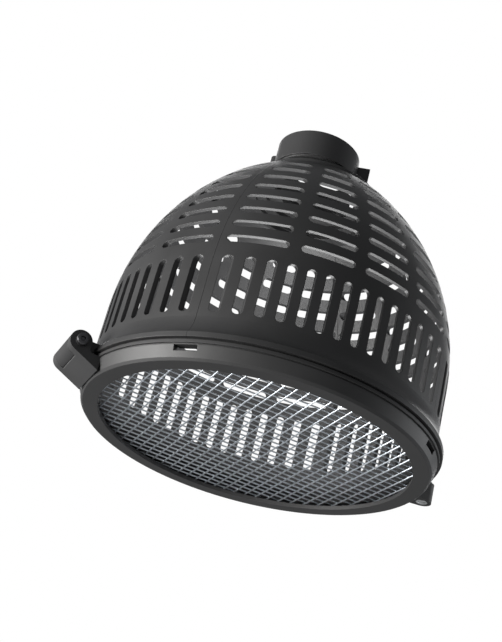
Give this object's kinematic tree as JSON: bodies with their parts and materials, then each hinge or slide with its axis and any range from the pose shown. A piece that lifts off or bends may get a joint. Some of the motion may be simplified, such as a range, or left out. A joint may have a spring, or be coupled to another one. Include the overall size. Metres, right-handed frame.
{
  "type": "heat lamp guard",
  "caption": "Slotted black plastic guard dome for a heat lamp, with a hinged mesh bezel below and a two-jaw clamp for the lamp holder's neck.",
  "frame": {"origin": "on the axis of the dome, in the middle of the clamp's lower land, the one that grips the neck of the lamp holder", "axes": "+Z along the axis towards the crown and the lamp holder, +X towards the latch of the bezel, the bezel's hinge at -X, +Y completes a right-handed frame"},
  "size_m": [0.2465, 0.22, 0.2002],
  "materials": {
    "black_plastic": "fine moulded grain, satin on the rims",
    "dark_steel": "blackened steel",
    "bright_wire": "galvanised",
    "bright_steel": "zinc plated"
  },
  "bodies": {
    "cage": {"dome_cage": "black_plastic", "collar_cap": "black_plastic", "fixed_jaw": "black_plastic", "jaw_pin": "dark_steel"},
    "swing_jaw": {"hinged_jaw": "black_plastic"},
    "bezel_frame": {"bezel": "black_plastic", "retaining_ring": "black_plastic", "mesh_lower_wires": "bright_wire", "mesh_upper_wires": "bright_wire", "hinge_screw": "dark_steel", "hinge_nut": "dark_steel", "latch_nut": "bright_steel"},
    "latch": {"latch_screw": "bright_steel"}
  },
  "joints": [
    {"name": "bezel_hinge", "type": "hinge", "parent": "cage", "child": "bezel_frame", "pos_m": [-0.119, 0, -0.1647], "axis": [0, 1, 0], "range_deg": [0, 95]},
    {"name": "latch_travel", "type": "slide", "parent": "cage", "child": "latch", "axis": [0, 0, 1], "range_m": [0, 0.014]},
    {"name": "jaw_hinge", "type": "hinge", "parent": "cage", "child": "swing_jaw", "pos_m": [-0.02965, 0.00906, 0.01], "axis": [0, 0, 1], "range_deg": [-50, 32]}
  ]
}
